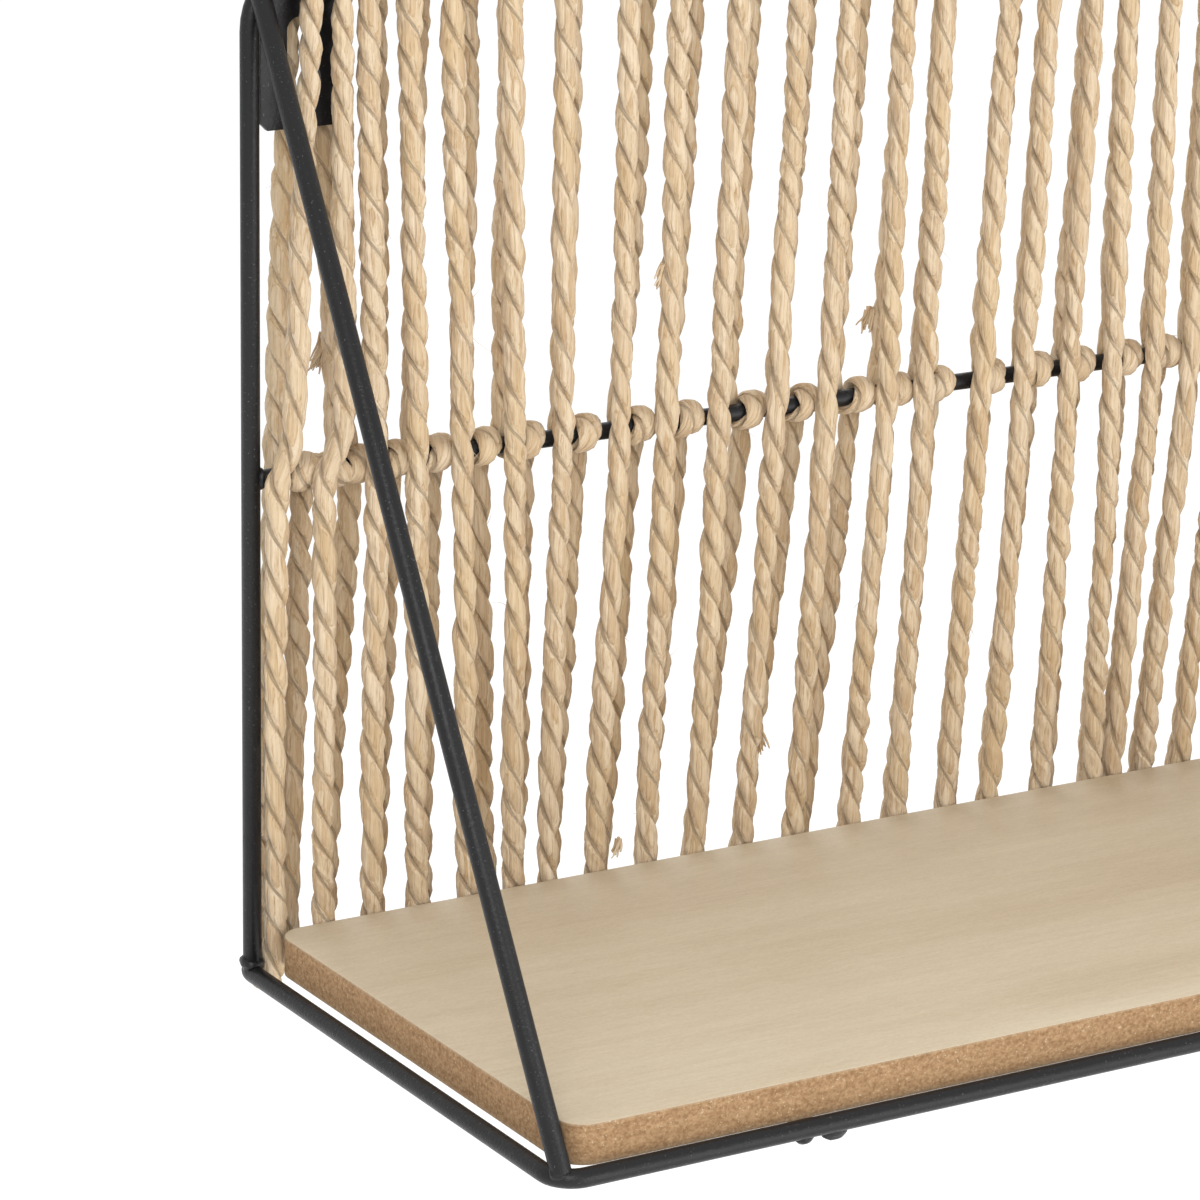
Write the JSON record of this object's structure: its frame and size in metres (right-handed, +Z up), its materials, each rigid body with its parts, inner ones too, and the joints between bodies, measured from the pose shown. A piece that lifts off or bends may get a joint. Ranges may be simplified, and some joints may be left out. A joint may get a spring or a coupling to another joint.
{
  "type": "rope wall shelf with a wire frame",
  "caption": "Wall shelf: a board lies in the base ring of a black wire frame, braces run up to the back, and natural rope is wound up and down as a back panel.",
  "frame": {"origin": "midway between the seats of the two keyhole slots, on the rear face of the hanging plates, where the wall screws hold the shelf", "axes": "+X along the shelf to the right seen from the front, +Y into the wall, +Z up"},
  "size_m": [0.4, 0.143, 0.2316],
  "materials": {
    "frame_wire": "satin black coating",
    "board": "fibreboard with a pale fine-grained wood face and raw edges",
    "rope": "matt two-ply twisted natural fibre rope"
  },
  "bodies": {
    "root": {"bottom_ring": "frame_wire", "rear_hoop": "frame_wire", "mid_wire": "frame_wire", "brace_left": "frame_wire", "brace_right": "frame_wire", "cross_wire_left": "frame_wire", "cross_wire_right": "frame_wire", "hanging_plate_left": "frame_wire", "hanging_plate_right": "frame_wire", "shelf_board": "board", "rope": "rope"}
  },
  "joints": []
}
